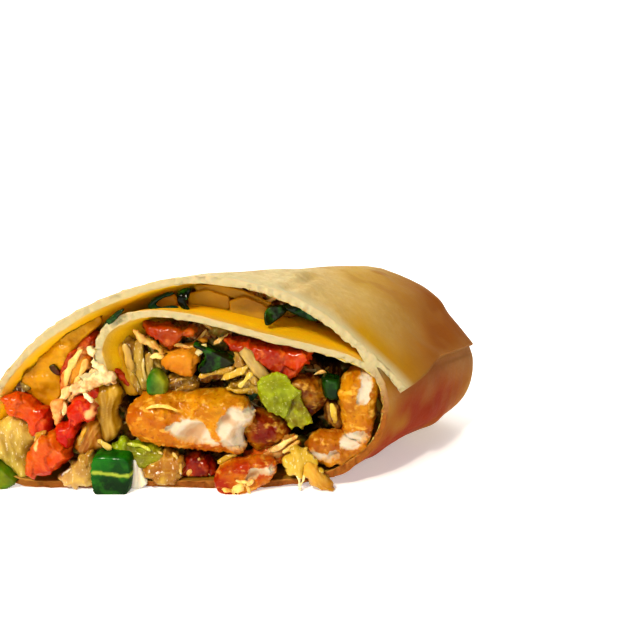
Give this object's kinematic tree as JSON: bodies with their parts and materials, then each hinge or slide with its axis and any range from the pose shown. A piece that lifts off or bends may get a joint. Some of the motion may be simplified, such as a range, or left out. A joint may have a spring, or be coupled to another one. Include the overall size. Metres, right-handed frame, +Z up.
{
  "type": "chicken wrap",
  "caption": "Half of a flour-tortilla wrap cut on the slant, its cut face showing fried chicken, tomato, green pepper and lettuce.",
  "frame": {"origin": "middle of the underside: the centre of the bounding box at its bottom", "axes": "+X along the cut face, to the right as one looks at it; +Y back into the wrap, away from the cut face; +Z up from the surface it lies on"},
  "size_m": [0.1324, 0.091, 0.054],
  "materials": {
    "tortilla": "soft, floury, lightly toasted",
    "salad": "moist, saucy",
    "chicken": "crisp fried crumb over white meat",
    "tomato": "wet",
    "pepper": "waxy skin",
    "lettuce": "wet leaf",
    "onion": "wet",
    "cheese": "soft, creamy"
  },
  "bodies": {
    "root": {"tortilla": "tortilla", "salad_filling": "salad", "pepper_block_front": "pepper", "chicken_bite_front": "chicken", "lettuce_rib_front": "lettuce", "lettuce_leaf_middle": "lettuce", "chicken_strip_middle": "chicken", "onion_sliver": "onion", "cheese_band": "cheese", "onion_white": "onion", "chicken_strip_right": "chicken", "chicken_heel_right": "chicken", "tomato_left_middle": "tomato", "tomato_left_lower": "tomato", "tomato_left_upper": "tomato", "pepper_corner": "pepper", "lettuce_left": "lettuce", "lettuce_pale_lower": "lettuce", "lettuce_green_lower": "lettuce", "pepper_left": "pepper", "tomato_saucy": "tomato", "pepper_slice_middle": "pepper", "cheese_curl": "cheese", "tomato_top": "tomato", "tomato_under_fold": "tomato", "lettuce_upright": "lettuce", "sauce_clump": "cheese", "lettuce_folded_left": "lettuce", "lettuce_pale_floor": "lettuce", "tomato_floor": "tomato", "pepper_right": "pepper", "lettuce_pale_right": "lettuce", "chicken_shaded_upper": "chicken", "chicken_shaded_lower": "chicken", "tomato_behind_fold": "tomato", "lettuce_flake_left": "lettuce", "pepper_edge": "pepper", "pepper_curl": "pepper", "pepper_fold": "pepper", "pepper_leaf_top": "pepper", "pepper_leaf_dark": "pepper"}
  },
  "joints": []
}
